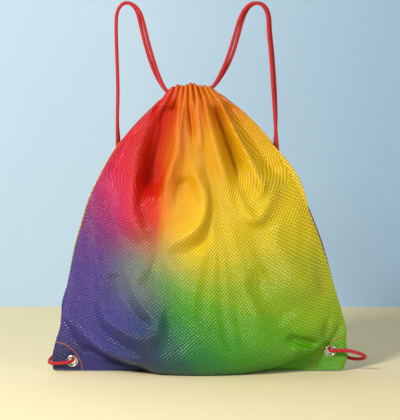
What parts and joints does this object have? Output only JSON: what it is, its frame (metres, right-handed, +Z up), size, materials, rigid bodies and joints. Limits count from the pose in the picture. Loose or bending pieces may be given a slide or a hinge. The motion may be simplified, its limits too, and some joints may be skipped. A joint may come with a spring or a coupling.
{
  "type": "drawstring sack",
  "caption": "Soft drawstring sack that stands lightly filled, with a gathered mouth, cord loops used as shoulder straps and metal eyelets in its bottom corners.",
  "frame": {"origin": "on the surface the sack stands on, under the middle of its width and depth", "axes": "+Z up, -Y towards the front panel, +X to the right seen from the front"},
  "size_m": [0.3693, 0.1214, 0.4263],
  "materials": {
    "printed_cloth": "glossy woven polyester with a rainbow print",
    "lining_cloth": "inside of the woven polyester",
    "red_cord": "braided polyester",
    "nickel": "nickel plated",
    "thread": "sewing thread"
  },
  "bodies": {
    "bag": {"front_panel": "printed_cloth", "back_panel": "printed_cloth", "left_side_seam": "lining_cloth", "right_side_seam": "lining_cloth", "bottom_seam": "lining_cloth", "left_corner_patch": "lining_cloth", "right_corner_patch": "lining_cloth", "front_cord_channel": "printed_cloth", "back_cord_channel": "printed_cloth", "left_eyelet": "nickel", "right_eyelet": "nickel", "left_eyelet_washer": "nickel", "right_eyelet_washer": "nickel", "left_corner_stitching": "thread", "right_corner_stitching": "thread", "front_channel_stitching": "thread", "back_channel_stitching": "thread", "left_cord_channel_run": "red_cord", "left_back_strand_outer": "red_cord", "left_back_strand_inner": "red_cord", "left_corner_cord": "red_cord", "left_knot": "red_cord", "left_cord_tails": "red_cord", "right_cord_channel_run": "red_cord", "right_back_strand_outer": "red_cord", "right_back_strand_inner": "red_cord", "right_corner_cord": "red_cord", "right_knot": "red_cord", "right_cord_tails": "red_cord"},
    "left_loop": {"left_loop_front_strand": "red_cord", "left_loop_rear_strand": "red_cord"},
    "right_loop": {"right_loop_front_strand": "red_cord", "right_loop_rear_strand": "red_cord"}
  },
  "joints": [
    {"name": "left_loop_swing", "type": "hinge", "parent": "bag", "child": "left_loop", "pos_m": [-0.0407, 0, 0.3275], "axis": [-0.6455, 0.1345, -0.7518], "range_deg": [-60, 75]},
    {"name": "right_loop_swing", "type": "hinge", "parent": "bag", "child": "right_loop", "pos_m": [0.02, 0, 0.334], "axis": [0.6924, 0.112, -0.7128], "range_deg": [-60, 75]}
  ]
}
